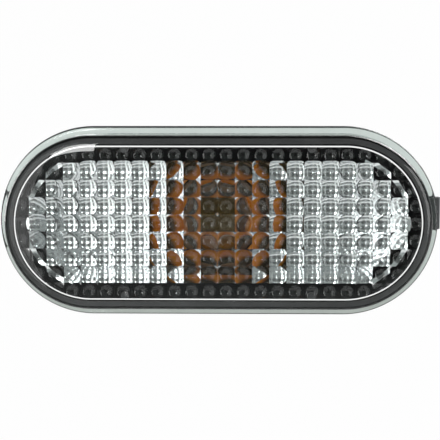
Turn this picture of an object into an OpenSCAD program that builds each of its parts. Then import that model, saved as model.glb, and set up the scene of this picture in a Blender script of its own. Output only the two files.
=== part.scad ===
// Oval vehicle indicator lamp: clear lens with pillow optics, metallised reflector, rear housing
// and a twist-lock holder with an amber wedge-base bulb.
// The pieces are drawn on the bench with the lens up: z runs from the panel towards the lens.
// lamp_frame() then turns them to the mounted frame, where the lens looks along -Y.

/* [Lamp] */
// Width of the lamp over its flange
lamp_w = 95; // [88:1:110]
// Height of the lamp over its flange
lamp_h = 41; // [40:0.5:46]
// Height of the lens above the panel
lens_rise = 9.5; // [9:0.5:12]
// Play between pieces that fit inside each other
fit = 0.1; // [0.05:0.01:0.12]
// Air left between neighbours that don't touch
gap = 0.3; // [0.2:0.05:0.5]

/* [Lens] */
// Thickness of the flange
flange_t = 2; // [1.6:0.1:2.6]
// Width of the flange outside the skirt
flange_w = 1.6; // [1.2:0.1:2.2]
// Radius of the flange's outer edge
flange_edge = 0.7; // [0.3:0.1:0.8]
// Thickness of the skirt at its foot
skirt_t = 1.2; // [1:0.1:1.4]
// How far the skirt leans in up to the shoulder
skirt_lean = 0.3; // [0.1:0.1:0.4]
// Radius of the shoulder between the skirt and the front
shoulder_r = 2; // [1.6:0.1:2.2]
// How far the front bulges
crown = 0.5; // [0.3:0.1:0.8]
// Thickness of the front at its edge, over the valleys of the optics
plate_t = 1.1; // [1:0.1:1.3]
// Depth of the ledge that the housing's rim bears on, and width of the bevel that leads to it
ledge_drop = 0.6; // [0.4:0.1:0.8]

/* [Pillow optics] */
// Distance from one pillow to the next
pillow_pitch = 3.65; // [3:0.05:4]
// Radius of each pillow's dome
pillow_r = 3.9; // [3.7:0.1:5]
// Straight foot of each pillow
pillow_foot = 0.1; // [0.1:0.05:0.3]

/* [Reflector] */
// Wall of the reflector
refl_t = 1.2; // [1:0.1:1.4]
// Air between the pillows and the reflector's rim
refl_air = 0.9; // [0.6:0.1:1.5]
// Depth of the tray from its rim to the wings
tray_depth = 16.1; // [14:0.1:16.5]
// Width of the rim round the tray
tray_rim = 2.6; // [2.4:0.1:3]
// How far the tray's wall leans in down to the wings
tray_lean = 0.7; // [0.3:0.1:1]
// Radius of the bowl where it meets the wings
bowl_r = 14.7; // [13.5:0.1:15.5]
// Radius of the hole for the bulb
bulb_hole_r = 7.2; // [6.4:0.1:7.6]
// Radius of the stakes that hold the reflector's rim
stake_r = 0.45; // [0.4:0.05:0.5]
// Distance of the stakes from the middle
stake_x = 20; // [8:1:26]

/* [Housing] */
// Thickness of the rim that carries the lens
rim_t = 1.4; // [1.2:0.1:1.5]
// Thickness of the side wall and the cone
wall_t = 2; // [1.6:0.1:2.2]
// Thickness of the back
back_t = 1.8; // [1.5:0.1:2.2]
// Thickness of the ribs on the back
rib_t = 1.3; // [1:0.1:2]
// Height of the ribs at the collar
rib_h = 4; // [2:0.5:5]
// Thickness of the car's panel that the hook and the leaf take
panel_t = 2.1; // [1.2:0.1:2.4]
// Chamfer round the back
back_edge = 1.2; // [0.6:0.1:1.5]
// Reach of the hook beyond the side wall
hook_reach = 2.6; // [1.5:0.1:3]
// Width of the hook
hook_w = 12; // [8:0.5:16]
// Width of the sprung leaf
leaf_w = 7; // [5:0.5:9]
// Thickness of the sprung leaf
leaf_t = 1.2; // [0.8:0.1:1.5]
// Half height of the leaf's bow
leaf_bow = 3.2; // [2.8:0.1:3.4]
// How far the leaf stands out beyond the side wall
leaf_reach = 5.1; // [4.6:0.1:5.4]
// How far the leaf sits above the lamp's middle
leaf_lift = 1.2; // [0:0.1:2]

/* [Bulb] */
// Air between the pillows and the bulb's tip
tip_air = 3.8; // [3.2:0.1:4.5]
// Radius of the glass
bulb_r = 5.1; // [4.8:0.1:5.2]
// Length of the bulb with its base
bulb_len = 26; // [25:0.1:26.8]
// Thickness of the glass
glass_t = 0.6; // [0.5:0.1:0.8]
// Width of the wedge base
wedge_w = 9.5; // [9.3:0.1:9.6]
// Thickness of the wedge base
wedge_t = 2.4; // [2.1:0.1:2.6]
// Height of the wedge base
wedge_h = 6.5; // [6:0.1:7]
// Distance of the filament from the foot of the base
filament_h = 16.5; // [15.5:0.1:17.5]
// Length of the filament's coil
filament_len = 4.4; // [4:0.1:4.6]
// Radius of the filament's coil
coil_r = 0.4; // [0.35:0.05:0.45]
// Turns in the filament's coil
coil_turns = 9; // [6:1:10]
// Thickness of the filament's wire
coil_wire = 0.16; // [0.12:0.02:0.2]
// Radius of the lead wires
lead_r = 0.25; // [0.2:0.01:0.3]
// Distance between the lead wires
lead_gap = 5; // [5:0.1:5.2]
// Height of the wires' folded ends on the wedge base
fold_h = 5.2; // [4.8:0.1:5.6]

/* [Bulb holder] */
// Radius of the holder's barrel
barrel_r = 8.2; // [8:0.1:8.4]
// Radius over the locking lugs
lug_r = 10.2; // [9.8:0.1:10.3]
// Height of the locking lugs
lug_h = 1.8; // [1.4:0.1:2]
// Angle that each lug spans
lug_angle = 30; // [24:1:34]
// Angle that a notch is wider than its lug
notch_play = 6; // [4:1:8]
// Angle that each stop of the lugs spans
stop_angle = 4.5; // [4:0.5:6]
// Angle between a lug and its stop
stop_play = 1.5; // [1:0.5:2.5]
// Number of locking lugs
lug_count = 3; // [2:1:3]
// Turn that unlocks the holder
unlock_angle = 50; // [45:1:52]
// Thickness of the collar's end wall
collar_t = 2; // [1.6:0.1:2.4]
// Height of the lug chamber
chamber_h = 2.6; // [2.4:0.1:3]
// Drop from the barrel's top to the lug chamber
chamber_drop = 0.8; // [0.6:0.1:1.2]
// Thickness of the seal
seal_t = 2; // [1.6:0.1:2.4]
// Width of the seal
seal_w = 2.5; // [2:0.1:2.8]
// Radius of the holder's flange
plate_r = 11.6; // [11:0.1:12.5]
// Thickness of the holder's flange
plate_th = 1.8; // [1.5:0.1:2.2]
// Width of the plug socket inside
socket_w = 13; // [12:0.5:14]
// Height of the plug socket inside
socket_h = 9; // [9:0.5:10]
// Wall of the plug socket
socket_t = 1.5; // [1.2:0.1:1.8]
// Depth of the plug socket
socket_depth = 8.5; // [8:0.5:11]
// Thickness of the web between the bulb and the plug socket
web_t = 2; // [1.6:0.1:3]
// Room below the bulb's foot for the loops of its wires
loop_room = 1.7; // [1.6:0.1:2.2]
// Height of the finger grips below the holder's flange
grip_h = 8; // [5:0.5:9]
// Thickness of the finger grips
grip_t = 2.5; // [2:0.1:3]
// Width of each contact
contact_w = 2.8; // [2.4:0.1:3]
// Thickness of the contact's spring
contact_t = 0.5; // [0.4:0.05:0.5]
// Thickness of the contact's blade
blade_t = 0.6; // [0.5:0.1:0.8]
// How far the blade's tip stays inside the socket
blade_inset = 1.5; // [1:0.1:2.5]

/* [Hidden] */
$fn = 72;
eps = 0.01;
// Longer than any piece, for what is cut or clipped
beyond = lamp_w + lamp_h;

// Oval: the flange's end radius, and half the length of the spine between the end centres
lamp_r = lamp_h / 2;
spine = (lamp_w - lamp_h) / 2;

// Lens radii from the spine and heights above the panel
skirt_out = lamp_r - flange_w;
skirt_in = skirt_out - skirt_t;
rim_out = skirt_in - fit;
rim_in = rim_out - rim_t;
window_r = rim_in - fit;
shoulder_x = skirt_out - skirt_lean - shoulder_r;
shoulder_z = lens_rise - crown - shoulder_r;
plate_z = lens_rise - crown - plate_t;
ledge_z = plate_z - ledge_drop;

// Pillows
pillow_sag = pillow_r - sqrt(pow(pillow_r, 2) - pow(pillow_pitch, 2) / 2);
pillow_z = plate_z - pillow_foot - pillow_sag;
columns = ceil((spine + window_r) / pillow_pitch);
rows = ceil(window_r / pillow_pitch - 1 / 2);

// Reflector
refl_top = pillow_z - refl_air;
refl_out = window_r - fit;
tray_top_r = refl_out - tray_rim;
tray_r = tray_top_r - tray_lean;
wing_z = refl_top - tray_depth;
bulb_tip_z = pillow_z - tip_air;
bulb_foot_z = bulb_tip_z - bulb_len;
filament_z = bulb_foot_z + filament_h;
bowl_focus = (filament_z - wing_z + sqrt(pow(filament_z - wing_z, 2) + pow(bowl_r, 2))) / 2;
bowl_vertex = filament_z - bowl_focus;
hole_z = bowl_z(bulb_hole_r) - refl_t;
rim_seat_z = refl_top - refl_t;

// Housing
side_in = tray_top_r + refl_t + gap;
side_out = side_in + wall_t;
stake_y = (side_in + rim_in) / 2;
back_in = wing_z - refl_t - gap;
back_out = back_in - back_t;
bowl_back_r = sqrt(4 * bowl_focus * (back_in + refl_t - bowl_vertex));
cone_r = bowl_back_r + gap;
holder_top = hole_z - gap;
chamber_top = holder_top - chamber_drop;
chamber_r = lug_r + 2 * gap;
collar_r = chamber_r + wall_t;
collar_in = chamber_top - chamber_h;
collar_out = collar_in - collar_t;
bore_r = barrel_r + fit;
end_x = spine + side_out;
leaf_z = -(leaf_bow + panel_t + leaf_t / 2);
leaf_x = end_x - leaf_t / 4;

// Holder
seal_z = collar_out - fit;
plate_top = seal_z - seal_t;
plate_bot = plate_top - plate_th;
lug_z = collar_in + fit;
wedge_top = bulb_foot_z + wedge_h;
recess_z = wedge_top - gap;
slot_bot = bulb_foot_z - loop_room;
socket_top = slot_bot - web_t;
socket_bot = socket_top - socket_depth;
lead_x = lead_gap / 2;
fold_y = (wedge_t / 2 + lead_r + eps) / 2;

// Height of the bowl's mirror at a radius
function bowl_z(r) = bowl_vertex + pow(r, 2) / (4 * bowl_focus);

// Points along an arc
function arc(c, r, from, to, n) =
    [for (i = [0:n]) let (a = from + (to - from) * i / n) c + r * [cos(a), sin(a)]];

// Outline of a strip of even thickness along a middle line
function along(p, i) = let (d = p[min(i + 1, len(p) - 1)] - p[max(i - 1, 0)]) d / norm(d);
function beside(p, i, t) = let (d = along(p, i)) p[i] + t / 2 * [-d[1], d[0]];
function strip(p, t) = concat(
    [for (i = [0:len(p) - 1]) beside(p, i, t)],
    [for (i = [len(p) - 1:-1:0]) beside(p, i, -t)]);

// From the bench to the mounted frame
module lamp_frame() {
    rotate([90, 0, 0]) children();
}

// Flat oval round the spine
module oval(r) {
    square([2 * spine, 2 * r], center = true);
    for (s = [-1, 1]) translate([s * spine, 0]) circle(r);
}

// A profile swept round the oval: x is the distance from the spine, y the height
module sweep_oval() {
    for (s = [0, 180]) rotate([0, 0, s]) {
        translate([spine, 0, 0]) rotate([0, 0, -90]) rotate_extrude(angle = 180) children();
        translate([-spine, 0, 0]) rotate([90, 0, 90]) linear_extrude(2 * spine) children();
    }
}

// A sector of a ring
module ring_sector(r_in, r_out, h, middle, angle) {
    rotate([0, 0, middle - angle / 2]) rotate_extrude(angle = angle)
        translate([r_in, 0]) square([r_out - r_in, h]);
}

// Half section of the lens: crowned front, round shoulder, leaning skirt, flange and inner bevel
module lens_section() {
    crown_r = (pow(shoulder_x, 2) + pow(crown, 2)) / (2 * crown);
    crown_end = asin(shoulder_x / crown_r);
    polygon(concat(
        [[skirt_in, 0], [lamp_r - flange_edge / 2, 0], [lamp_r, flange_edge / 2]],
        arc([lamp_r - flange_edge, flange_t - flange_edge], flange_edge, 0, 90, 4),
        [[skirt_out, flange_t]],
        arc([shoulder_x, shoulder_z], shoulder_r, 0, 90 - crown_end, 8),
        arc([0, lens_rise - crown_r], crown_r, 90 - crown_end, 90, 10),
        [[0, plate_z], [window_r, plate_z], [window_r + ledge_drop, ledge_z], [skirt_in, ledge_z]]
    ));
}

// One pillow of the optics: a dome clipped to its square cell, whose walls its neighbours share
module pillow(i, j) {
    cell = [[i, j - 1 / 2], [i + 1, j - 1 / 2], [i + 1, j + 1 / 2], [i, j + 1 / 2]];
    intersection() {
        translate([(i + 1 / 2) * pillow_pitch, j * pillow_pitch, pillow_z + pillow_r]) sphere(pillow_r);
        translate([0, 0, pillow_z - pillow_foot]) linear_extrude(plate_z - pillow_z + 2 * pillow_foot)
            polygon(pillow_pitch * cell);
    }
}

// Distances from the spine to the nearest and the farthest point of a cell
function cell_near(x, y) = norm([
    max(0, abs(x) - pillow_pitch / 2 - spine), max(0, abs(y) - pillow_pitch / 2)]);
function cell_far(x, y) = norm([
    max(0, abs(x) + pillow_pitch / 2 - spine), abs(y) + pillow_pitch / 2]);

// Grid of pillows inside the window
module pillows() {
    for (i = [-columns:columns - 1], j = [-rows:rows]) {
        x = (i + 1 / 2) * pillow_pitch;
        y = j * pillow_pitch;
        if (cell_far(x, y) < window_r) {
            pillow(i, j);
        } else if (cell_near(x, y) < window_r - gap) {
            intersection() {
                pillow(i, j);
                translate([0, 0, pillow_z - gap]) linear_extrude(lens_rise) oval(window_r - eps);
            }
        }
    }
}

module lens() {
    color([0.88, 0.93, 0.91, 0.5]) lamp_frame() {
        sweep_oval() lens_section();
        pillows();
    }
}

// Half section of the reflector's tray with its rim
module tray_section() {
    polygon([
        [0, wing_z - refl_t], [tray_r + refl_t, wing_z - refl_t], [tray_top_r + refl_t, rim_seat_z],
        [refl_out, rim_seat_z], [refl_out, refl_top], [tray_top_r, refl_top], [tray_r, wing_z],
        [0, wing_z]
    ]);
}

// The paraboloid with its focus at the filament, from a depth below the bowl's mirror
module bowl_body(drop) {
    rings = 20;
    rotate_extrude() polygon(concat(
        [for (i = [0:rings]) let (r = bowl_r * i / rings) [r, bowl_z(r) - drop]],
        [[bowl_r, wing_z + gap], [0, wing_z + gap]]
    ));
}

// A bowl clipped to the tray's straight sides
module clipped_bowl(drop, side_r) {
    intersection() {
        bowl_body(drop);
        translate([0, 0, bowl_vertex - bowl_focus]) linear_extrude(beyond) oval(side_r);
    }
}

module reflector() {
    color([0.82, 0.83, 0.84]) lamp_frame() difference() {
        union() {
            sweep_oval() tray_section();
            clipped_bowl(refl_t, tray_r + refl_t);
        }
        clipped_bowl(0, tray_r);
        translate([0, 0, bowl_vertex - 2 * refl_t]) cylinder(r = bulb_hole_r, h = bowl_focus);
        for (x = [-1, 1], y = [-1, 1]) translate([x * stake_x, y * stake_y, rim_seat_z - refl_t])
            cylinder(r = stake_r + fit, h = 3 * refl_t);
    }
}

// Half section of the housing's tray
module housing_section() {
    polygon([
        [0, back_out], [side_out - back_edge, back_out], [side_out, back_out + back_edge],
        [side_out, gap], [rim_out, gap], [rim_out, ledge_z], [rim_in, ledge_z],
        [rim_in, rim_seat_z], [side_in, rim_seat_z], [side_in, back_in], [0, back_in]
    ]);
}

// Cone and collar behind the tray, kept within its straight sides
module turret() {
    intersection() {
        rotate_extrude() polygon([
            [0, back_in - eps], [cone_r + wall_t, back_in - eps], [collar_r, chamber_top],
            [collar_r, collar_out], [0, collar_out]
        ]);
        translate([0, 0, collar_out - gap]) linear_extrude(beyond) oval(side_out);
    }
}

// Room inside the cone, the lug chamber and the bore
module turret_room() {
    intersection() {
        rotate_extrude() polygon([
            [0, back_in + gap], [cone_r, back_in + gap], [cone_r, back_in], [chamber_r, chamber_top],
            [chamber_r, collar_in], [bore_r, collar_in], [bore_r, collar_out - collar_t],
            [0, collar_out - collar_t]
        ]);
        translate([0, 0, collar_out - 2 * collar_t]) linear_extrude(beyond) oval(side_in);
    }
}

// Ribs that run from the collar out over the back
module back_ribs() {
    reach = end_x - 2 * wall_t;
    foot = bore_r + wall_t;
    for (s = [0, 180], y = [-collar_r / 2, collar_r / 2]) rotate([0, 0, s])
        translate([0, y + rib_t / 2, 0]) rotate([90, 0, 0]) linear_extrude(rib_t)
            polygon([
                [foot, back_out + eps], [reach, back_out + eps], [reach, back_out - rib_t],
                [collar_r, back_out - rib_h], [foot, back_out - rib_h]
            ]);
}

// Fixed hook at the left end
module hook() {
    root = wall_t / 2 - end_x;
    lip_z = -panel_t - wall_t / 2;
    translate([0, hook_w / 2, 0]) rotate([90, 0, 0]) linear_extrude(hook_w)
        polygon([
            [root, -panel_t], [-end_x - hook_reach, -panel_t], [-end_x - hook_reach, lip_z],
            [-end_x, lip_z - hook_reach], [root, lip_z - hook_reach]
        ]);
}

// Sprung leaf at the right end: rooted in the side wall, bowed outwards and turned in at its tip
module leaf() {
    root_angle = -100;
    tip_angle = 62;
    steps = 18;
    bow = end_x + leaf_reach - leaf_t / 2 - leaf_x;
    middle = [for (i = [0:steps]) let (a = root_angle + (tip_angle - root_angle) * i / steps)
        [leaf_x + bow * cos(a), leaf_z + leaf_bow * sin(a)]];
    translate([0, leaf_lift + leaf_w / 2, 0]) rotate([90, 0, 0]) linear_extrude(leaf_w)
        polygon(strip(middle, leaf_t));
}

// Stakes formed over the reflector's rim
module stakes() {
    for (x = [-1, 1], y = [-1, 1]) translate([x * stake_x, y * stake_y, rim_seat_z - eps]) {
        cylinder(r = stake_r, h = refl_t + 2 * gap);
        translate([0, 0, refl_t + eps]) cylinder(r = stake_r + gap, h = 2 * gap);
    }
}

module housing() {
    color([0.07, 0.07, 0.08]) lamp_frame() {
        difference() {
            union() {
                sweep_oval() housing_section();
                turret();
                back_ribs();
                hook();
                leaf();
            }
            turret_room();
            for (k = [1:lug_count]) {
                notch_at = 360 * k / lug_count - unlock_angle;
                translate([0, 0, collar_out - collar_t])
                    ring_sector(0, chamber_r - gap, 2 * collar_t, notch_at, lug_angle + notch_play);
            }
        }
        stakes();
        stop_at = (lug_angle + stop_angle) / 2 + stop_play;
        for (a = [stop_at, -unlock_angle - stop_at]) translate([0, 0, collar_in - eps])
            ring_sector(bore_r + gap, chamber_r + wall_t / 2, lug_h, a, stop_angle);
    }
}

// Rounded block centred on the axis
module block(w, h, z_low, z_high, edge) {
    translate([0, 0, z_low]) linear_extrude(z_high - z_low) {
        square([w, h - 2 * edge], center = true);
        square([w - 2 * edge, h], center = true);
        for (x = [-1, 1], y = [-1, 1])
            translate([x * (w / 2 - edge), y * (h / 2 - edge)]) circle(edge, $fn = 24);
    }
}

module bulb_holder() {
    pocket_y = wedge_t / 2 + 2 * lead_r + contact_t + 2 * gap;
    color([0.16, 0.16, 0.17]) lamp_frame() difference() {
        union() {
            translate([0, 0, plate_bot]) cylinder(r = barrel_r, h = holder_top - plate_bot);
            translate([0, 0, plate_bot]) cylinder(r = plate_r, h = plate_th);
            for (k = [1:lug_count]) translate([0, 0, lug_z])
                ring_sector(barrel_r - wall_t / 2, lug_r, lug_h, 360 * k / lug_count, lug_angle);
            block(socket_w + 2 * socket_t, socket_h + 2 * socket_t, socket_bot, plate_bot + eps, socket_t);
            for (x = [-1, 1]) translate([x * (plate_r + socket_w / 2) / 2, 0, plate_bot - grip_h / 2])
                cube([plate_r - socket_w / 2, grip_t, grip_h + 2 * eps], center = true);
            // catch for the plug
            translate([-socket_w / 6, socket_h / 2 + socket_t, socket_bot + socket_t])
                rotate([90, 0, 90]) linear_extrude(socket_w / 3)
                    polygon([[-eps, 0], [socket_t / 2, socket_t / 2], [-eps, 2 * socket_t]]);
        }
        translate([0, 0, recess_z]) cylinder(r = bulb_r + gap, h = bulb_len);
        block(wedge_w + 2 * gap, wedge_t + 2 * gap, slot_bot, recess_z + eps, gap);
        for (x = [-1, 1]) translate([x * lead_x, 0, 0]) {
            block(contact_w + 2 * fit, 2 * pocket_y, slot_bot, recess_z + eps, fit);
            block(contact_w + 2 * fit, blade_t + 2 * fit, socket_top - eps, slot_bot + eps, fit);
        }
        block(socket_w, socket_h, socket_bot - eps, socket_top, socket_t / 2);
    }
}

module holder_seal() {
    color([0.22, 0.23, 0.24]) lamp_frame() translate([0, 0, plate_top]) rotate_extrude() {
        translate([barrel_r + fit / 2, 0]) square([seal_w - seal_t / 2, seal_t]);
        translate([barrel_r + fit / 2 + seal_w - seal_t / 2, seal_t / 2]) circle(seal_t / 2);
    }
}

// Spring clip round the wedge base with the blade below it; side is -1 or 1
module contact(side) {
    pinch_y = wedge_t / 2 + 2 * lead_r + contact_t / 2 + 4 * eps;
    foot_y = pinch_y + gap;
    bend = 3 * contact_t / 2;
    foot_z = slot_bot + contact_t / 2;
    top_z = wedge_top - contact_t;
    half = concat(
        [[pinch_y + gap, top_z], [pinch_y, top_z - 2 * contact_t], [pinch_y, top_z - 3 * contact_t]],
        arc([foot_y - bend, foot_z + bend], bend, 0, -90, 5)
    );
    other = [for (i = [len(half) - 1:-1:0]) [-half[i][0], half[i][1]]];
    tip_z = socket_bot + blade_inset;
    blade = [
        [-blade_t / 2, foot_z], [-blade_t / 2, tip_z + blade_t], [-blade_t / 6, tip_z],
        [blade_t / 6, tip_z], [blade_t / 2, tip_z + blade_t], [blade_t / 2, foot_z]];
    color([0.80, 0.68, 0.40]) lamp_frame() translate([side * lead_x - contact_w / 2, 0, 0])
        rotate([90, 0, 90]) {
            linear_extrude(contact_w) polygon(strip(concat(half, other), contact_t));
            linear_extrude(contact_w) polygon(blade);
        }
}

module contact_left() {
    contact(-1);
}

module contact_right() {
    contact(1);
}

// Half section of the bulb's envelope, drawn in by an inset
module envelope_section(inset, foot) {
    r = bulb_r - inset;
    intersection() {
        union() {
            translate([0, bulb_tip_z - bulb_r]) circle(r);
            translate([0, foot + r / 2]) square([r, bulb_tip_z - bulb_r - foot - r / 2]);
            translate([0, foot]) polygon([[0, 0], [r - 2 * glass_t, 0], [r, r / 2], [0, r / 2]]);
        }
        translate([0, foot]) square([beyond, beyond]);
    }
}

module bulb_glass() {
    color([0.95, 0.45, 0.05, 0.6]) lamp_frame() difference() {
        union() {
            rotate_extrude() envelope_section(0, wedge_top);
            block(wedge_w, wedge_t, bulb_foot_z, wedge_top + 2 * glass_t, wedge_t / 4);
            translate([0, 0, bulb_foot_z + glass_t]) cylinder(r = wedge_t / 2 + gap / 2, h = wedge_h);
        }
        rotate_extrude() envelope_section(glass_t, wedge_top + 3 * glass_t);
        for (x = [-1, 1]) {
            translate([x * lead_x, 0, bulb_foot_z - eps])
                cylinder(r = lead_r + 2 * eps, h = wedge_h + 4 * glass_t);
            translate([x * (wedge_w + glass_t) / 2, wedge_t, bulb_foot_z + wedge_h / 2])
                rotate([90, 0, 0]) cylinder(r = glass_t, h = 2 * wedge_t);
        }
    }
}

// Lead wire through the pinch, folded up on one face of the wedge base; side is -1 or 1
module lead(side) {
    color([0.78, 0.78, 0.76]) lamp_frame() rotate([0, 0, side > 0 ? 0 : 180]) translate([lead_x, 0, 0]) {
        translate([0, 0, bulb_foot_z]) cylinder(r = lead_r, h = filament_h + lead_r, $fn = 24);
        translate([0, fold_y, bulb_foot_z]) rotate([0, 90, 0]) rotate([0, 0, -90])
            rotate_extrude(angle = 180, $fn = 24) translate([fold_y, 0]) circle(lead_r, $fn = 24);
        translate([0, 2 * fold_y, bulb_foot_z]) cylinder(r = lead_r, h = fold_h, $fn = 24);
    }
}

module bulb_lead_left() {
    lead(-1);
}

module bulb_lead_right() {
    lead(1);
}

// Point on the filament's helix; t runs from 0 to 1
function helix(t) = [
    (t - 1 / 2) * filament_len,
    coil_r * cos(360 * coil_turns * t),
    coil_r * sin(360 * coil_turns * t)];

module bulb_filament() {
    sides = 5;
    steps = 9 * coil_turns;
    points = [for (i = [0:steps]) let (
        t = i / steps,
        a = 360 * coil_turns * t,
        out = [0, cos(a), sin(a)]
    ) for (k = [0:sides - 1])
        helix(t) + coil_wire / 2 * (cos(360 * k / sides) * out + sin(360 * k / sides) * [1, 0, 0])];
    skin = [for (i = [0:steps - 1], k = [0:sides - 1]) let (
        a = i * sides + k,
        b = i * sides + (k + 1) % sides
    ) [a, b, b + sides, a + sides]];
    caps = [[for (k = [sides - 1:-1:0]) k], [for (k = [0:sides - 1]) steps * sides + k]];
    color([0.70, 0.70, 0.72]) lamp_frame() translate([0, 0, filament_z])
        polyhedron(points, concat(skin, caps));
}

lens();
reflector();
housing();
bulb_holder();
holder_seal();
contact_left();
contact_right();
bulb_glass();
bulb_filament();
bulb_lead_left();
bulb_lead_right();
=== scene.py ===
"""Dresses the oval indicator lamp: pillow lens, mirror bowl, amber bulb, moulded housing and stage."""

import math

import bpy
import numpy as np
from bpy.props import FloatProperty, FloatVectorProperty, IntProperty, PointerProperty
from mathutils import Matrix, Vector


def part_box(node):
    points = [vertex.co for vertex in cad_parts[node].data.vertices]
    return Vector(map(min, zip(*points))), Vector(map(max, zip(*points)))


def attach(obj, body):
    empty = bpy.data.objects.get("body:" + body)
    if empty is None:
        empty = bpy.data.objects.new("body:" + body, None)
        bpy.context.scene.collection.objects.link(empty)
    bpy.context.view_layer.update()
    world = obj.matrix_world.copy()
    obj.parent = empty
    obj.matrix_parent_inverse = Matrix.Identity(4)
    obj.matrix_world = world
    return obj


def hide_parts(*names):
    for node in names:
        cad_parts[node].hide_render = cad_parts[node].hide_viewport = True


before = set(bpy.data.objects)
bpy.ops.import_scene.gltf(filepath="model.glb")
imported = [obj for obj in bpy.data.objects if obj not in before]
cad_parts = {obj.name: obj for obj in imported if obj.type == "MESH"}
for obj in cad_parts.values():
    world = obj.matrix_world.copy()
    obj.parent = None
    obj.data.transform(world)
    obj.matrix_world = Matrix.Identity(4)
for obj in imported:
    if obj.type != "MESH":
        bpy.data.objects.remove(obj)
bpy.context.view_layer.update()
LENS_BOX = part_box("lens")
REFLECTOR_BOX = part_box("reflector")
COIL_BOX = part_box("bulb_filament")
HOLDER_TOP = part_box("bulb_holder")[0].y
BULB_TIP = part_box("bulb_glass")[0].y

bl_info = {
    "name": "Oval indicator lamp",
    "version": (1, 0, 0),
    "blender": (4, 5, 0),
    "location": "3D View > Sidebar > Indicator lamp",
    "description": "Pillow-optic lens, mirror bowl, amber bulb and finishes of an oval indicator lamp",
    "category": "Object",
}

MM = 0.001
LAMP_R = (LENS_BOX[1].z - LENS_BOX[0].z) / 2
SPINE = (LENS_BOX[1].x - LENS_BOX[0].x) / 2 - LAMP_R
LENS_RISE = -LENS_BOX[0].y
# The middle lens slot holds the faces that carry painted shade.
CLEAR, SHADE_SLOT, SATIN = range(3)
MIRROR, BARE = range(2)


def length(name, description, millimetres, low=0.0, high=200.0):
    """A size of the lamp, given here in millimetres."""
    return FloatProperty(
        name=name, description=description, default=millimetres * MM, min=low * MM, max=high * MM,
        unit="LENGTH", precision=5, step=1)


def tint(name, description, colour):
    """A finish's colour."""
    return FloatVectorProperty(
        name=name, description=description, default=colour, size=3, min=0, max=1, subtype="COLOR")


def share(name, description, value, high=1.0):
    """A plain number of a finish."""
    return FloatProperty(
        name=name, description=description, default=value, min=0, max=high, subtype="FACTOR")


class LampLensSizes(bpy.types.PropertyGroup):
    """Sizes of the lens and of its pillow optics."""

    pitch: length("Pillow pitch", "Distance from one pillow to the next", 3.65, 1, 8)
    dome: length("Dome radius", "Radius of each pillow's dome", 3.9, 2.6, 20)
    foot: length("Pillow foot", "Straight foot under each dome", 0.1)
    cuts: IntProperty(name="Cuts", description="Cuts across each pillow", default=12, min=4, max=16)
    flange: length("Flange width", "Width of the flange outside the skirt", 1.6)
    flange_deep: length("Flange thickness", "Thickness of the flange", 2.0)
    flange_edge: length("Flange edge", "Radius of the flange's outer edge", 0.7)
    skirt: length("Skirt", "Thickness of the skirt at its foot", 1.2)
    lean: length("Skirt lean", "How far the skirt leans in up to the shoulder", 0.3)
    shoulder: length("Shoulder", "Radius between the skirt and the front", 2.0)
    crown: length("Crown", "How far the front bulges", 0.5)
    plate: length("Front", "Thickness of the front at its edge", 1.1)
    ledge: length("Ledge", "Depth of the ledge below the valleys", 0.6)
    line: length("Bright line", "Width of the bevel that stays clear of the weld", 0.3)
    window: length("Window", "Distance of the window's edge from the spine", 16.1)


class LampMirrorSizes(bpy.types.PropertyGroup):
    """Sizes of the mirror tray and its bowl."""

    wall: length("Wall", "Wall of the moulding", 1.2)
    tray: length("Tray depth", "Depth from the rim to the wings", 16.1)
    rim: length("Rim", "Width of the rim round the tray", 2.6)
    shelf: length("Bright rim", "Width of the metallised part of the rim at both ends", 0.8)
    dull: length("Dull wall", "Depth of the bare part of the tray's wall at both ends", 5)
    ends_from: length("Ends", "Distance from the middle at which the ends start", 32)
    lean: length("Lean", "How far the tray's wall leans in", 0.7)
    bowl: length("Bowl radius", "Radius of the bowl where it meets the wings", 14.7)
    hole: length("Bulb hole", "Radius of the hole for the bulb", 7.2)
    steps: IntProperty(name="Steps", description="Steps round the bowl", default=192, min=48, max=384)


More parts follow.
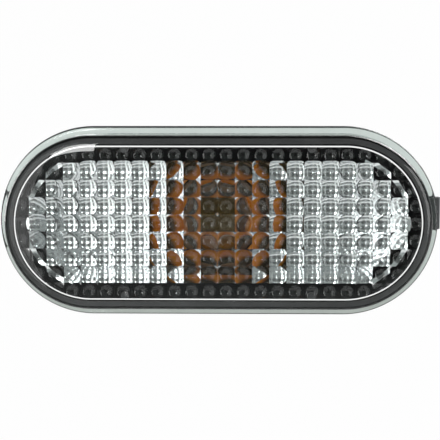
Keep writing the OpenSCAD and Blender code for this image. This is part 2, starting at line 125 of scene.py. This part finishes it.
class LampFinishes(bpy.types.PropertyGroup):
    """Colours and levels of the finishes."""

    acrylic: tint("Acrylic", "Tint of the clear lens", (0.965, 0.985, 0.975))
    acrylic_shade: share("Lens shade", "Light that the lens lets through to what is behind it", 0.9)
    # The flange's tint is partly its satin frost and partly painted shade; the second flange tint is painted
    # shade at its lower edge.
    flange: tint("Flange", "Tint of the lens's flange", (0.64, 0.71, 0.68))
    flange_painted_shade: tint("Low flange", "Tint of the flange at its lower edge", (0.40, 0.44, 0.41))
    mirror: tint("Mirror", "Colour of the metallised skin", (0.88, 0.89, 0.90))
    mirror_worn: tint("Dull mirror", "Colour of the skin where it is thinner", (0.74, 0.75, 0.77))
    # Painted shade: a darker, unshining copy of the housing's black, seen through the lens's edge and rim and
    # on the reflector's bare parts, with paler patches.
    weld: tint("Weld", "Colour of the black seen through the lens's edge and rim", (0.002, 0.002, 0.0022))
    shaded_black_streak: tint("Weld streak", "Paler streaks in that black", (0.012, 0.012, 0.010))
    housing: tint("Housing", "Colour of the housing moulding", (0.015, 0.0155, 0.0165))
    housing_dust: tint("Housing bloom", "Paler bloom on the housing", (0.055, 0.056, 0.058))
    amber: tint("Amber", "Colour of the bulb's glass", (0.95, 0.36, 0.010))
    # Deep amber serves both the coat's own thicker streaks and painted shade towards the bulb's top.
    amber_thick_and_shaded: tint("Deep amber", "Colour where the coat is thick", (0.48, 0.085, 0.004))
    # Painted shade: dark olive on the bulb's tip and foot.
    amber_shade_tip: tint("Amber tip", "Colour of the thick coat on the bulb's tip and foot", (0.07, 0.043, 0.006))
    holder: tint("Holder", "Colour of the holder moulding", (0.030, 0.030, 0.031))
    # Painted light: amber light from the bulb on the holder round it.
    holder_amber_light: tint("Baked holder", "Colour of the holder round the bulb", (0.14, 0.07, 0.015))
    rubber: tint("Rubber", "Colour of the seal", (0.028, 0.028, 0.03))
    brass: tint("Brass", "Colour of the contacts", (0.78, 0.60, 0.30))
    wire: tint("Wire", "Colour of the lead wires", (0.70, 0.69, 0.66))
    coil: tint("Coil", "Colour of the filament", (0.42, 0.42, 0.44))


class LampStageSettings(bpy.types.PropertyGroup):
    """Camera, surroundings and floor."""

    azimuth: FloatProperty(
        name="Azimuth", description="Camera angle round the lamp", default=math.radians(1.3),
        subtype="ANGLE", unit="ROTATION")
    elevation: FloatProperty(
        name="Elevation", description="Camera angle above the lamp's axis", default=math.radians(4.9),
        subtype="ANGLE", unit="ROTATION")
    distance: length("Distance", "Camera distance from the flange's plane", 277, 100, 2000)
    focal: FloatProperty(name="Focal length", description="Focal length of the camera in millimetres",
                         default=103.7, min=20, max=300, subtype="DISTANCE_CAMERA")
    room: share("Room", "Level of the dim room in front of the lamp", 0.37)
    dark_side: FloatProperty(name="Dark side", description="Where the unlit part lies, sideways, as a slope",
                             default=0.09, min=-1, max=1)
    dark_up: FloatProperty(name="Dark height", description="Where the unlit part lies, upwards, as a slope",
                           default=-0.02, min=-1, max=1)
    dark_wide: FloatProperty(name="Dark width", description="Half width of the unlit part, as a slope",
                             default=0.24, min=0.02, max=2)
    dark_tall: FloatProperty(name="Dark reach", description="Half height of the unlit part, as a slope",
                             default=0.22, min=0.02, max=2)
    ambient: share("Ambient", "Level of the light from all round", 0.85)
    floor_drop: length("Floor drop", "Distance of the floor below the lamp's middle", 90, 30, 500)
    floor_front: length("Floor front", "How far the floor reaches in front of the lamp", 250, 50, 2000)


class Wire:
    """One socket of a finish's nodes; arithmetic on it adds Math nodes."""

    def __init__(self, tree, socket=None):
        self.tree = tree
        self.socket = socket

    def node(self, kind, settings=None, sockets=None, out=0):
        """Adds a node of a kind: its settings first, then the values or links of its sockets."""
        made = self.tree.nodes.new("ShaderNode" + kind)
        for key, value in (settings or {}).items():
            setattr(made, key, value)
        for key, value in (sockets or {}).items():
            if isinstance(value, Wire):
                self.tree.links.new(value.socket, made.inputs[key])
            elif isinstance(made.inputs[key].default_value, float):
                made.inputs[key].default_value = value
            else:
                made.inputs[key].default_value = (*value, 1)[:len(made.inputs[key].default_value)]
        return Wire(self.tree, made.outputs[out] if len(made.outputs) else None)

    def sum_of(self, operation, first, second):
        """A Math node on two values."""
        return self.node("Math", {"operation": operation}, {0: first, 1: second})

    def __add__(self, other):
        return self.sum_of("ADD", self, other)

    def __radd__(self, other):
        return self.sum_of("ADD", other, self)

    def __sub__(self, other):
        return self.sum_of("SUBTRACT", self, other)

    def __rsub__(self, other):
        return self.sum_of("SUBTRACT", other, self)

    def __mul__(self, other):
        return self.sum_of("MULTIPLY", self, other)

    def __rmul__(self, other):
        return self.sum_of("MULTIPLY", other, self)

    def __truediv__(self, other):
        return self.sum_of("DIVIDE", self, other)

    def __rtruediv__(self, other):
        return self.sum_of("DIVIDE", other, self)

    def clamped(self):
        """The value kept between 0 and 1."""
        return self.node("Clamp", None, {"Value": self})

    def between(self, low, high):
        """A smooth step from 0 at low to 1 at high."""
        return self.node("MapRange", {"interpolation_type": "SMOOTHSTEP"},
                         {"Value": self, "From Min": low, "From Max": high})

    def colour(self, first, second):
        """A colour mixed from two by this value."""
        return self.node("Mix", {"data_type": "RGBA"}, {0: self, 6: first, 7: second}, 2)

    def place(self):
        """Position on the piece in metres."""
        return self.node("TexCoord", None, None, 3)

    def noise(self, per_mm, detail=3.0, rough=0.5, stretch=(1, 1, 1)):
        """Even noise of a grain size given by its scale for each millimetre."""
        where = self.node("VectorMath", {"operation": "MULTIPLY"}, {0: self.place(), 1: stretch})
        return self.node("TexNoise", None, {
            "Vector": where, "Scale": per_mm / MM, "Detail": detail, "Roughness": rough})

    def bump(self, height, distance, strength=1.0):
        """A normal from a height; the distance is in millimetres."""
        return self.node("Bump", None, {"Height": height, "Distance": distance * MM, "Strength": strength})


def finish(name, build):
    """A material whose nodes come from build(wire), which returns its last shader."""
    made = bpy.data.materials.new(name)
    made.use_nodes = True
    made.node_tree.nodes.clear()
    start = Wire(made.node_tree)
    last = build(start)
    start.node("OutputMaterial", None, {"Surface": last})
    return made


def shaded(wire, shader, colour, share_left):
    """Lets light through a clear piece to what is behind it."""
    clear = wire.node("BsdfTransparent", None, {"Color": [part * share_left for part in colour]})
    shadow = wire.node("LightPath", None, None, 1)
    return wire.node("MixShader", None, {0: shadow, 1: shader, 2: clear})


def acrylic_finish(looks):
    """Clear acrylic, polished outside."""
    def build(wire):
        haze = wire.noise(0.25, 2).between(0.55, 0.8)
        shader = wire.node("BsdfPrincipled", None, {
            "Base Color": looks.acrylic, "Roughness": 0.012 * haze, "IOR": 1.49,
            "Transmission Weight": 1.0})
        return shaded(wire, shader, looks.acrylic, looks.acrylic_shade)
    return finish("clear_acrylic", build)


def satin_finish(looks):
    """Acrylic of the flange, satin and greener, with painted shade that darkens it towards its lower edge;
    its tint is partly the satin frost and partly painted shade.
    """
    def build(wire):
        height = wire.node("SeparateXYZ", None, {0: wire.place()}, 2)
        # Painted shade: the flange darkens towards its lower edge.
        low = 1 - height.between(-LAMP_R, 0.6 * LAMP_R)
        cloud = wire.noise(0.16, 3).between(0.3, 0.7)
        shader = wire.node("BsdfPrincipled", None, {
            "Base Color": (0.85 * low + 0.15 * cloud).clamped().colour(looks.flange, looks.flange_painted_shade),
            "Roughness": 0.05 + 0.1 * cloud, "IOR": 1.49, "Transmission Weight": 1.0})
        return shaded(wire, shader, looks.flange, looks.acrylic_shade)
    return finish("satin_flange", build)


def mirror_finish(looks):
    """Vacuum-metallised skin: bright, with a faint flow of the moulding under it."""
    def build(wire):
        thin = wire.noise(0.12, 4).between(0.5, 0.78)
        flow = wire.noise(0.35, 2, stretch=(1, 1, 2.5))
        return wire.node("BsdfPrincipled", None, {
            "Base Color": thin.colour(looks.mirror, looks.mirror_worn), "Metallic": 1.0,
            "Roughness": 0.09 + 0.05 * thin, "Normal": wire.bump(flow, 0.02, 0.35)})
    return finish("mirror_skin", build)


def amber_lit_holder_finish(looks):
    """The holder's black plastic, with painted amber light from the bulb on it round the bulb."""
    def build(wire):
        depth = wire.node("SeparateXYZ", None, {0: wire.place()}, 1)
        # Painted light: the holder's top near the bulb is coloured as if lit through the amber glass.
        amber_light = 1 - depth.between(HOLDER_TOP, HOLDER_TOP + 2 * MM)
        spark = wire.noise(6, 3, 0.6)
        return wire.node("BsdfPrincipled", None, {
            "Base Color": (amber_light * (0.7 + 0.3 * spark)).colour(looks.holder, looks.holder_amber_light),
            "Roughness": 0.42 + 0.14 * spark, "IOR": 1.5, "Normal": wire.bump(spark, 0.03, 0.5)})
    return finish("holder_black", build)


def moulding_finish(name, colour, bloom, grain, rough, shine=0.5):
    """Black moulded plastic with a fine spark-eroded grain and a pale bloom."""
    def build(wire):
        patch = wire.noise(0.09, 4).between(0.45, 0.8)
        spark = wire.noise(grain, 3, 0.6)
        return wire.node("BsdfPrincipled", None, {
            "Base Color": (patch * 0.5).colour(colour, bloom), "Roughness": rough + 0.14 * spark,
            "IOR": 1.5, "Specular IOR Level": shine, "Normal": wire.bump(spark, 0.03, 0.5)})
    return finish(name, build)


def amber_finish(looks):
    """Amber-coated glass with painted shade: dark olive at the tip and at the foot, and deeper, darker amber
    towards the top; the streaks are the coat's own thickness.
    """
    def build(wire):
        streak = wire.noise(0.22, 3, stretch=(1, 0.35, 1)).between(0.4, 0.75)
        depth, height = [wire.node("SeparateXYZ", None, {0: wire.place()}, axis) for axis in "YZ"]
        # Painted shade: dark olive on the tip and on the foot.
        tip = 1 - depth.between(BULB_TIP + 2 * MM, BULB_TIP + 6 * MM)
        foot = depth.between(BULB_TIP + 10.5 * MM, BULB_TIP + 13 * MM)
        # The coat's own thicker streaks, plus painted shade that deepens the amber towards the top.
        thick = 0.6 * streak + 0.4 * height.between(-4 * MM, 4 * MM)
        side = thick.colour(looks.amber, looks.amber_thick_and_shaded)
        shader = wire.node("BsdfPrincipled", None, {
            "Base Color": (tip + foot).clamped().colour(side, looks.amber_shade_tip),
            "Roughness": 0.08 + 0.08 * streak, "IOR": 1.5, "Specular IOR Level": 0.1,
            "Transmission Weight": 0.4, "Coat Weight": 0.05, "Coat Roughness": 0.03})
        return shaded(wire, shader, looks.amber, 0.85)
    return finish("amber_glass", build)


def metal_finish(name, colour, rough, scale, stretch):
    """Drawn or pressed metal with fine lines along its length."""
    def build(wire):
        drawn = wire.noise(scale, 3, 0.6, stretch)
        dull = wire.noise(0.4, 3).between(0.45, 0.75)
        return wire.node("BsdfPrincipled", None, {
            "Base Color": dull.colour(colour, [part * 0.75 for part in colour]), "Metallic": 1.0,
            "Roughness": rough + 0.12 * drawn, "Normal": wire.bump(drawn, 0.01, 0.4)})
    return finish(name, build)


def rubber_finish(looks):
    """Soft black rubber with a faint chalky bloom."""
    def build(wire):
        chalk = wire.noise(0.5, 4).between(0.5, 0.85)
        pore = wire.noise(6, 2)
        return wire.node("BsdfPrincipled", None, {
            "Base Color": (0.35 * chalk).colour(looks.rubber, (0.12, 0.12, 0.12)),
            "Roughness": 0.72 + 0.12 * chalk, "Normal": wire.bump(pore, 0.02, 0.4)})
    return finish("seal_rubber", build)


def dress(material, *nodes):
    """Gives CAD nodes a finish."""
    for node in nodes:
        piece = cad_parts[node]
        piece.data.materials.clear()
        piece.data.materials.append(material)


def solid(name, points, faces, materials, face_slots=None, normals=None):
    """A shown piece from points and faces; normals overrides those of the first faces' corners."""
    mesh = bpy.data.meshes.new(name)
    mesh.from_pydata(points, [], faces)
    for material in materials:
        mesh.materials.append(material)
    if face_slots is not None:
        mesh.polygons.foreach_set("material_index", face_slots)
    mesh.polygons.foreach_set("use_smooth", [True] * len(mesh.polygons))
    mesh.set_sharp_from_angle(angle=math.radians(28))
    if normals is not None:
        corners = np.empty(3 * len(mesh.loops))
        mesh.corner_normals.foreach_get("vector", corners)
        corners = corners.reshape(-1, 3)
        corners[:len(normals)] = normals
        mesh.normals_split_custom_set([tuple(corner) for corner in corners])
    made = bpy.data.objects.new(name, mesh)
    bpy.context.scene.collection.objects.link(made)
    return made


def spine_point(x):
    """Nearest point of the oval's spine."""
    return min(max(x, -SPINE), SPINE)


def off_spine(x, z):
    """Distance from the oval's spine."""
    return math.hypot(x - spine_point(x), z)


def round_oval(x, z, radius):
    """How far round the oval a point of its outline lies, from the foot of the right end."""
    if x > SPINE:
        return radius * (math.atan2(z, x - SPINE) + math.pi / 2)
    if x < -SPINE:
        return radius * (math.pi / 2 + math.atan2(z, x + SPINE) % (2 * math.pi)) + 2 * SPINE
    if z > 0:
        return radius * math.pi + SPINE - x
    return 2 * radius * math.pi + 3 * SPINE + x


def arc(centre, radius, start, end, steps):
    """Points of an arc, angles in degrees."""
    angles = [math.radians(start + (end - start) * step / steps) for step in range(steps + 1)]
    return [(centre[0] + radius * math.cos(a), centre[1] + radius * math.sin(a)) for a in angles]


def lens_profile(sizes):
    """Radius, height and slot of each point of the lens's half section, from the window's edge round
    the outside to the middle of the front; the slot is that of the face before the point."""
    skirt_out = LAMP_R - sizes.flange
    skirt_in = skirt_out - sizes.skirt
    plate_z = LENS_RISE - sizes.crown - sizes.plate
    ledge_z = plate_z - sizes.ledge
    shoulder = (skirt_out - sizes.lean - sizes.shoulder, LENS_RISE - sizes.crown - sizes.shoulder)
    crown_r = (shoulder[0] ** 2 + sizes.crown ** 2) / (2 * sizes.crown)
    crown_end = math.degrees(math.asin(shoulder[0] / crown_r))
    edge = sizes.flange_edge
    clear = [(sizes.window, plate_z), (sizes.window + sizes.line, plate_z - sizes.line)]
    # The skirt's inside and the ledge carry painted shade.
    shaded_part = [(sizes.window + sizes.ledge, ledge_z), (skirt_in, ledge_z), (skirt_in, 0),
              (skirt_out, 0)]
    flange = [(LAMP_R - edge / 2, 0), (LAMP_R, edge / 2)]
    flange += arc((LAMP_R - edge, sizes.flange_deep - edge), edge, 0, 90, 6)
    flange += [(skirt_out, sizes.flange_deep)]
    front = arc(shoulder, sizes.shoulder, 0, 90 - crown_end, 12)
    front += arc((0, LENS_RISE - crown_r), crown_r, 90 - crown_end, 90, 8)[1:]
    parts = ((CLEAR, clear), (SHADE_SLOT, shaded_part), (SATIN, flange), (CLEAR, front))
    return [(*spot, slot) for slot, part in parts for spot in part]


def lens_pieces(sizes):
    """Points, faces, slots and dome normals of the lens: pillows in the window, then the swept section."""
    pitch, dome, cuts, window = sizes.pitch, sizes.dome, sizes.cuts, sizes.window
    plate_z = LENS_RISE - sizes.crown - sizes.plate
    apex_z = plate_z - sizes.foot - (dome - math.sqrt(dome ** 2 - pitch ** 2 / 2))
    columns = math.ceil((SPINE + window) / pitch)
    rows = math.ceil(window / pitch - 0.5)
    across, up = 2 * columns * cuts, (2 * rows + 1) * cuts
    xs = [(step / cuts - columns) * pitch for step in range(across + 1)]
    zs = [(step / cuts - rows - 0.5) * pitch for step in range(up + 1)]
    points, faces, normals, known, border = [], [], [], {}, []

    def height(dx, dz):
        return -(apex_z + dome - math.sqrt(dome ** 2 - dx ** 2 - dz ** 2))

    def off_cell(x, z):
        dx = x - (math.floor(x / pitch) + 0.5) * pitch
        return dx, z - round(z / pitch) * pitch

    def corner(i, k):
        if (i, k) not in known:
            x, z = xs[i], zs[k]
            known[i, k] = len(points)
            points.append((x, height(*off_cell(x, z)), z))
        return known[i, k]

    def crossing(a, b):
        key = (min(a, b), max(a, b))
        if key not in known:
            inner, outer = (0.0, 1.0) if inside[a] else (1.0, 0.0)
            for _ in range(24):
                middle = (inner + outer) / 2
                x = xs[a[0]] + (xs[b[0]] - xs[a[0]]) * middle
                z = zs[a[1]] + (zs[b[1]] - zs[a[1]]) * middle
                if off_spine(x, z) < window:
                    inner = middle
                else:
                    outer = middle
            known[key] = len(points)
            border.append(len(points))
            points.append((x, height(*off_cell(x, z)), z))
        return known[key]

    inside = {(i, k): off_spine(xs[i], zs[k]) < window for i in range(across + 1) for k in range(up + 1)}
    for i in range(across):
        for k in range(up):
            ring = [(i, k), (i, k + 1), (i + 1, k + 1), (i + 1, k)]
            held = [inside[spot] for spot in ring]
            if not any(held):
                continue
            face = []
            for step in range(4):
                here, there = ring[step], ring[(step + 1) % 4]
                if inside[here]:
                    face.append(corner(*here))
                if inside[here] != inside[there]:
                    face.append(crossing(here, there))
            middle_x = (math.floor(i / cuts) - columns + 0.5) * pitch
            middle_z = (math.floor(k / cuts) - rows) * pitch
            for spot in face:
                x, _, z = points[spot]
                dx, dz = x - middle_x, z - middle_z
                dy = math.sqrt(max(0.0, dome ** 2 - dx ** 2 - dz ** 2))
                normals.append((dx / dome, dy / dome, dz / dome))
            faces.append(face)

    border.sort(key=lambda spot: round_oval(points[spot][0], points[spot][2], window))
    ring = border
    slots = [CLEAR] * len(faces)
    for radius, level, slot in lens_profile(sizes):
        merged, outline = {}, []
        for spot in border:
            x, _, z = points[spot]
            foot = spine_point(x)
            x, z = foot + (x - foot) * radius / window, z * radius / window
            key = (round(x * 1e7), round(z * 1e7)) if radius < MM * 0.001 else spot
            if key not in merged:
                merged[key] = len(points)
                points.append((x, -level, z))
            outline.append(merged[key])
        for step in range(len(border)):
            after = (step + 1) % len(border)
            face = [ring[step], ring[after], outline[after], outline[step]]
            face = [spot for n, spot in enumerate(face) if spot != face[n - 1]]
            if len(face) > 2:
                faces.append(face)
                slots.append(slot)
        ring = outline
    return points, faces, slots, normals


def mirror_pieces(sizes):
    """Points, faces and slots of the reflector: bowl, wings, tray wall, rim and back."""
    top = -REFLECTOR_BOX[0].y
    out = REFLECTOR_BOX[1].z
    tray_top = out - sizes.rim
    tray = tray_top - sizes.lean
    wing = top - sizes.tray
    coil = -(COIL_BOX[0].y + COIL_BOX[1].y) / 2
    rise = coil - wing
    focus = (rise + math.hypot(rise, sizes.bowl)) / 2
    vertex = coil - focus
    points, faces, slots = [], [], []
    count = sizes.steps

    def level(radius):
        return vertex + radius ** 2 / (4 * focus)

    def ring(spots):
        start = len(points)
        points.extend((x, -z, y) for x, y, z in spots)
        return list(range(start, start + count))

    def join(first, second, middle, ends=None):
        for step in range(count):
            after = (step + 1) % count
            faces.append([first[step], first[after], second[after], second[step]])
            at_end = abs(points[first[step]][0]) > sizes.ends_from
            slots.append(ends if at_end and ends is not None else middle)

    def fan(radius_at, level_at):
        made = []
        for step in range(count):
            a = 2 * math.pi * step / count - math.pi / 2
            radius = radius_at(a)
            made.append((radius * math.cos(a), radius * math.sin(a), level_at(radius)))
        return made

    def bowl_rings(side, drop, count_in):
        def reach(a):
            return min(sizes.bowl, side / max(abs(math.sin(a)), 1e-6))
        rings = []
        for step in range(count_in + 1):
            t = step / count_in
            spots = fan(lambda a: sizes.hole + (reach(a) - sizes.hole) * t, lambda r: level(r) - drop)
            rings.append(ring(spots))
        rings.append(ring(fan(reach, lambda r: wing - drop)))
        return rings

    def outline(radius, z):
        made = []
        for step in range(count):
            a = 2 * math.pi * step / count - math.pi / 2
            side = 1 if math.cos(a) >= 0 else -1
            flat = math.asin(min(1.0, radius / sizes.bowl)) if radius < sizes.bowl else math.pi / 2
            lean = math.asin(max(-1.0, min(1.0, math.sin(a))))
            if abs(lean) > flat:
                made.append((radius * math.cos(a) / abs(math.sin(a)), math.copysign(radius, lean), z))
                continue
            start = sizes.bowl * math.cos(flat)
            half = (SPINE - start) + radius * math.pi / 2
            s = half * lean / flat
            turn = radius * math.pi / 2
            if abs(s) <= turn:
                spot = (SPINE + radius * math.cos(s / radius), radius * math.sin(s / radius))
            else:
                spot = (SPINE - (abs(s) - turn), math.copysign(radius, s))
            made.append((side * spot[0], spot[1], z))
        return made

    inner = bowl_rings(tray, 0, 20)
    for first, second in zip(inner, inner[1:]):
        join(second, first, MIRROR)
    floor = ring(outline(tray, wing))
    join(floor, inner[-1], MIRROR)
    dull = tray_top - sizes.lean * sizes.dull / sizes.tray
    turns = [
        (dull, top - sizes.dull, MIRROR, MIRROR),
        (tray_top, top, MIRROR, BARE),
        (tray_top + sizes.shelf, top, BARE, MIRROR),
        (out, top, BARE, BARE),
        (out, top - sizes.wall, BARE, BARE),
        (tray_top + sizes.wall, top - sizes.wall, BARE, BARE),
        (tray + sizes.wall, wing - sizes.wall, BARE, BARE)]
    last = floor
    base = [points[spot] for spot in floor]
    for radius, z, middle, ends in turns:
        spots = []
        for x, _, y in base:
            foot = spine_point(x)
            spots.append((foot + (x - foot) * radius / tray, y * radius / tray, z))
        after = ring(spots)
        join(after, last, middle, ends)
        last = after
    outer = bowl_rings(tray + sizes.wall, sizes.wall, 12)
    join(outer[-1], last, BARE)
    for first, second in zip(outer[::-1], outer[::-1][1:]):
        join(second, first, BARE)
    join(inner[0], outer[0], BARE)
    return points, faces, slots


class LAMP_OT_lens(bpy.types.Operator):
    """Builds the clear lens with its pillow optics"""

    bl_idname = "lamp.lens"
    bl_label = "Lens"

    def execute(self, context):
        looks = context.scene.lamp_looks
        points, faces, slots, normals = lens_pieces(context.scene.lamp_lens)
        if not faces:
            raise RuntimeError("the lens has no faces")
        # Painted shade: the lens's skirt and ledge get a darker, unshining copy of the housing's black.
        weld = moulding_finish("painted_shade_black", looks.weld, looks.shaded_black_streak, 2, 0.5, 0)
        satin = satin_finish(looks)
        lens = solid("lens_shell", points, faces, [acrylic_finish(looks), weld, satin], slots, normals)
        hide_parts("lens")
        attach(lens, "lamp_body")
        return {"FINISHED"}


class LAMP_OT_reflector(bpy.types.Operator):
    """Builds the mirror tray with its bowl"""

    bl_idname = "lamp.reflector"
    bl_label = "Reflector"

    def execute(self, context):
        looks = context.scene.lamp_looks
        points, faces, slots = mirror_pieces(context.scene.lamp_mirror)
        if not faces:
            raise RuntimeError("the reflector has no faces")
        # Painted shade: the reflector's bare parts get the same darker, unshining copy of the housing's
        # black.
        bare = moulding_finish("reflector_back", looks.weld, looks.shaded_black_streak, 4, 0.4, 0)
        mirror = solid("mirror_tray", points, faces, [mirror_finish(looks), bare], slots)
        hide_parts("reflector")
        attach(mirror, "lamp_body")
        return {"FINISHED"}


class LAMP_OT_housing(bpy.types.Operator):
    """Finishes the black housing"""

    bl_idname = "lamp.housing"
    bl_label = "Housing"

    def execute(self, context):
        looks = context.scene.lamp_looks
        dress(moulding_finish("housing_black", looks.housing, looks.housing_dust, 5, 0.34), "housing")
        return {"FINISHED"}


class LAMP_OT_bulb(bpy.types.Operator):
    """Finishes the amber bulb, its coil and its lead wires"""

    bl_idname = "lamp.bulb"
    bl_label = "Bulb"

    def execute(self, context):
        looks = context.scene.lamp_looks
        dress(amber_finish(looks), "bulb_glass")
        dress(metal_finish("coil_wire", looks.coil, 0.35, 6, (1, 1, 1)), "bulb_filament")
        lead_wire = metal_finish("lead_wire", looks.wire, 0.25, 4, (1, 0.2, 1))
        dress(lead_wire, "bulb_lead_left", "bulb_lead_right")
        return {"FINISHED"}


class LAMP_OT_holder(bpy.types.Operator):
    """Finishes the twist-lock holder, its seal and its contacts"""

    bl_idname = "lamp.holder"
    bl_label = "Holder"

    def execute(self, context):
        looks = context.scene.lamp_looks
        dress(amber_lit_holder_finish(looks), "bulb_holder")
        dress(rubber_finish(looks), "holder_seal")
        brass = metal_finish("contact_brass", looks.brass, 0.22, 5, (1, 0.15, 1))
        dress(brass, "contact_left", "contact_right")
        return {"FINISHED"}


def softbox(name, place, wide, tall, watts):
    """An area lamp that faces the middle of the object."""
    lamp = bpy.data.lights.new(name, "AREA")
    lamp.shape = "RECTANGLE"
    lamp.size, lamp.size_y = wide, tall
    lamp.energy = watts
    made = bpy.data.objects.new(name, lamp)
    bpy.context.scene.collection.objects.link(made)
    made.location = place
    made.rotation_mode = "QUATERNION"
    made.rotation_quaternion = (-Vector(place)).to_track_quat("-Z", "Y")
    made.visible_camera = False
    return made


def sweep_floor(drop, front):
    """A pale floor that curves up into a backdrop behind the lamp."""
    wide, deep, high, bend = 3.0, 1.4, 1.6, 0.5
    profile = [(-front, -drop)]
    profile += [(deep - bend + bend * math.sin(a), -drop + bend - bend * math.cos(a))
                for a in [math.pi / 2 * step / 16 for step in range(17)]]
    profile += [(deep, -drop + high)]
    points = [(x, y, z) for y, z in profile for x in (-wide, wide)]
    faces = [[2 * n, 2 * n + 1, 2 * n + 3, 2 * n + 2] for n in range(len(profile) - 1)]

    def build(wire):
        speck = wire.noise(0.02, 2)
        paper = wire.node("BsdfPrincipled", None, {
            "Base Color": speck.colour((0.34, 0.34, 0.34), (0.40, 0.40, 0.40)), "Roughness": 0.9})
        white = wire.node("Emission", None, {"Color": (1, 1, 1), "Strength": 1.0})
        path = [wire.node("LightPath", None, None, kind) for kind in ("Is Camera Ray", "Is Transmission Ray")]
        seen = (path[0] + path[1]).clamped()
        return wire.node("MixShader", None, {0: 0.98 * seen, 1: paper, 2: white})

    made = solid("studio_sweep", points, faces, [finish("studio_paper", build)])


class LAMP_OT_stage(bpy.types.Operator):
    """Sets up the floor, the softboxes, the surroundings and the camera"""

    bl_idname = "lamp.stage"
    bl_label = "Stage"

    def execute(self, context):
        scene = context.scene
        stage = scene.lamp_stage
        sweep_floor(stage.floor_drop, stage.floor_front)
        softbox("soft_left", (-0.75, -1.1, 0.15), 0.9, 1.5, 5.5)
        softbox("soft_top", (0.05, -0.35, 1.2), 1.2, 0.9, 0.7)
        softbox("soft_right", (1.2, -0.45, 0.2), 0.9, 1.2, 9)
        softbox("soft_back", (0.7, 0.9, 0.8), 0.9, 0.9, 12)
        softbox("soft_low", (-0.9, 0.8, 0.1), 0.5, 0.9, 5)
        softbox("flash", (-0.135, -0.58, 0.112), 0.08, 0.08, 0.25)

        world = bpy.data.worlds.new("studio_room")
        scene.world = world
        world.use_nodes = True
        world.node_tree.nodes.clear()
        wire = Wire(world.node_tree)
        towards = wire.node("TexCoord", None, None, "Generated")
        side, facing, up = [wire.node("SeparateXYZ", None, {0: towards}, axis) for axis in "XYZ"]
        behind = facing.between(-0.05, 0.15)
        # An oval unlit part of the room in front, where the camera stands.
        ahead = wire.sum_of("MAXIMUM", facing * -1, 0.001)
        off_side = (side / ahead - stage.dark_side) / stage.dark_wide
        off_up = (up / ahead - stage.dark_up) / stage.dark_tall
        dark = 1 - (off_side * off_side + off_up * off_up).between(0.7, 1.25)
        camera_ray, diffuse_ray, clear_ray = [
            wire.node("LightPath", None, None, kind)
            for kind in ("Is Camera Ray", "Is Diffuse Ray", "Is Transmission Ray")]
        seen = camera_ray + clear_ray * behind
        # The room's light fades straight above and below.
        high = (up * up).between(0.25, 0.8)
        room = stage.room * (1 - 0.8 * dark) * (1 - 0.7 * high)
        level = room + diffuse_ray * (stage.ambient - room)
        surround = wire.node("Background", None, {"Color": (0.90, 0.97, 0.95), "Strength": level})
        white = wire.node("Background", None, {"Color": (1, 1, 1), "Strength": 1.0})
        both = wire.node("MixShader", None, {0: seen.clamped(), 1: surround, 2: white})
        wire.node("OutputWorld", None, {"Surface": both})

        camera = bpy.data.objects.new("photo_camera", bpy.data.cameras.new("photo_camera"))
        scene.collection.objects.link(camera)
        camera.data.lens = stage.focal
        camera.data.sensor_width = 36
        camera.data.clip_start, camera.data.clip_end = 0.02, 20
        turn, tilt = stage.azimuth, stage.elevation
        back = Vector((math.sin(turn) * math.cos(tilt), -math.cos(turn) * math.cos(tilt), math.sin(tilt)))
        camera.location = back * stage.distance
        camera.rotation_mode = "QUATERNION"
        camera.rotation_quaternion = (-back).to_track_quat("-Z", "Y")
        camera.data.shift_x = 0.003
        scene.camera = camera
        scene.view_settings.view_transform = "Standard"
        return {"FINISHED"}


class LAMP_PT_panel(bpy.types.Panel):
    """Sizes, finishes and building steps of the indicator lamp"""

    bl_idname = "LAMP_PT_panel"
    bl_label = "Indicator lamp"
    bl_space_type = "VIEW_3D"
    bl_region_type = "UI"
    bl_category = "Indicator lamp"

    def draw(self, context):
        for title, group in GROUPS:
            box = self.layout.box()
            box.label(text=title)
            settings = getattr(context.scene, group)
            for name in settings.__annotations__:
                box.prop(settings, name)
        for operator in OPERATORS:
            self.layout.operator(operator.bl_idname)


GROUPS = [
    ("Lens", "lamp_lens"), ("Mirror", "lamp_mirror"), ("Finishes", "lamp_looks"), ("Stage", "lamp_stage")]
SETTINGS = [LampLensSizes, LampMirrorSizes, LampFinishes, LampStageSettings]
OPERATORS = [LAMP_OT_lens, LAMP_OT_reflector, LAMP_OT_housing, LAMP_OT_bulb, LAMP_OT_holder, LAMP_OT_stage]


def register():
    """Registers the classes and hangs the settings on the scene."""
    for kind in SETTINGS + OPERATORS + [LAMP_PT_panel]:
        bpy.utils.register_class(kind)
    for (_, group), kind in zip(GROUPS, SETTINGS):
        setattr(bpy.types.Scene, group, PointerProperty(type=kind))


def unregister():
    """Takes the settings and the classes away again."""
    for _, group in GROUPS:
        delattr(bpy.types.Scene, group)
    for kind in reversed(SETTINGS + OPERATORS + [LAMP_PT_panel]):
        bpy.utils.unregister_class(kind)


def main():
    """Builds every piece in order."""
    register()
    bpy.ops.lamp.lens()
    bpy.ops.lamp.reflector()
    bpy.ops.lamp.housing()
    bpy.ops.lamp.bulb()
    bpy.ops.lamp.holder()
    bpy.ops.lamp.stage()


if __name__ == "__main__":
    main()
